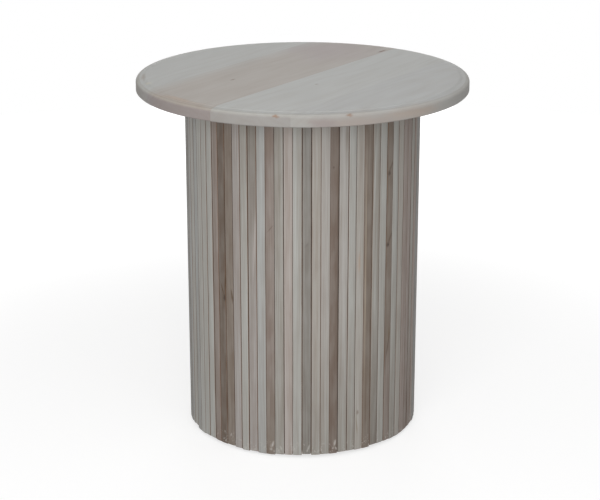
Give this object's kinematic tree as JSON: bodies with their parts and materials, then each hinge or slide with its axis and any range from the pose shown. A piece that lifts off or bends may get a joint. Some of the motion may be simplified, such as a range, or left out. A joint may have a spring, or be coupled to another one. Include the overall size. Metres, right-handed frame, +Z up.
{
  "type": "drum side table",
  "caption": "Round wooden side table: a glued-up top with a stepped thumbnail edge, fixed on a drum of upright square slats around plywood formers.",
  "frame": {"origin": "on the floor, under the middle of the round top", "axes": "+Z up; +X along the grain of the top's boards; +Y across the grain"},
  "size_m": [0.5, 0.5, 0.55],
  "materials": {
    "slat_maple": "whitewashed, matte",
    "top_maple": "whitewashed, matte",
    "former_plywood": "raw birch plywood",
    "post_pine": "planed, raw",
    "biscuit_beech": "pressed, raw",
    "screw_steel": "zinc plated",
    "glide_nylon": "moulded"
  },
  "bodies": {
    "root": {"base_former": "former_plywood", "glides": "glide_nylon", "middle_former": "former_plywood", "middle_former_screws": "screw_steel", "post_1": "post_pine", "post_2": "post_pine", "post_3": "post_pine", "post_4": "post_pine", "post_screws": "screw_steel", "slat_pair_01": "slat_maple", "slat_pair_02": "slat_maple", "slat_pair_03": "slat_maple", "slat_pair_04": "slat_maple", "slat_pair_05": "slat_maple", "slat_pair_06": "slat_maple", "slat_pair_07": "slat_maple", "slat_pair_08": "slat_maple", "slat_pair_09": "slat_maple", "slat_pair_10": "slat_maple", "slat_pair_11": "slat_maple", "slat_pair_12": "slat_maple", "slat_pair_13": "slat_maple", "slat_pair_14": "slat_maple", "slat_pair_15": "slat_maple", "slat_pair_16": "slat_maple", "slat_pair_17": "slat_maple", "slat_pair_18": "slat_maple", "slat_pair_19": "slat_maple", "slat_pair_20": "slat_maple", "slat_pair_21": "slat_maple", "slat_pair_22": "slat_maple", "slat_pair_23": "slat_maple", "slat_pair_24": "slat_maple", "slat_pair_25": "slat_maple", "slat_pair_26": "slat_maple", "slat_pair_27": "slat_maple", "slat_pair_28": "slat_maple", "slat_pair_29": "slat_maple", "slat_pair_30": "slat_maple", "slat_pair_31": "slat_maple", "slat_pair_32": "slat_maple", "slat_pair_33": "slat_maple", "slat_pair_34": "slat_maple", "slat_pair_35": "slat_maple", "slat_pair_36": "slat_maple", "slat_pair_37": "slat_maple", "slat_pair_38": "slat_maple", "slat_pair_39": "slat_maple", "slat_pair_40": "slat_maple", "slat_pair_41": "slat_maple", "top_biscuits": "biscuit_beech", "top_board_1": "top_maple", "top_board_2": "top_maple", "top_board_3": "top_maple", "top_board_4": "top_maple", "top_fixing_screws": "screw_steel", "top_former": "former_plywood"}
  },
  "joints": []
}
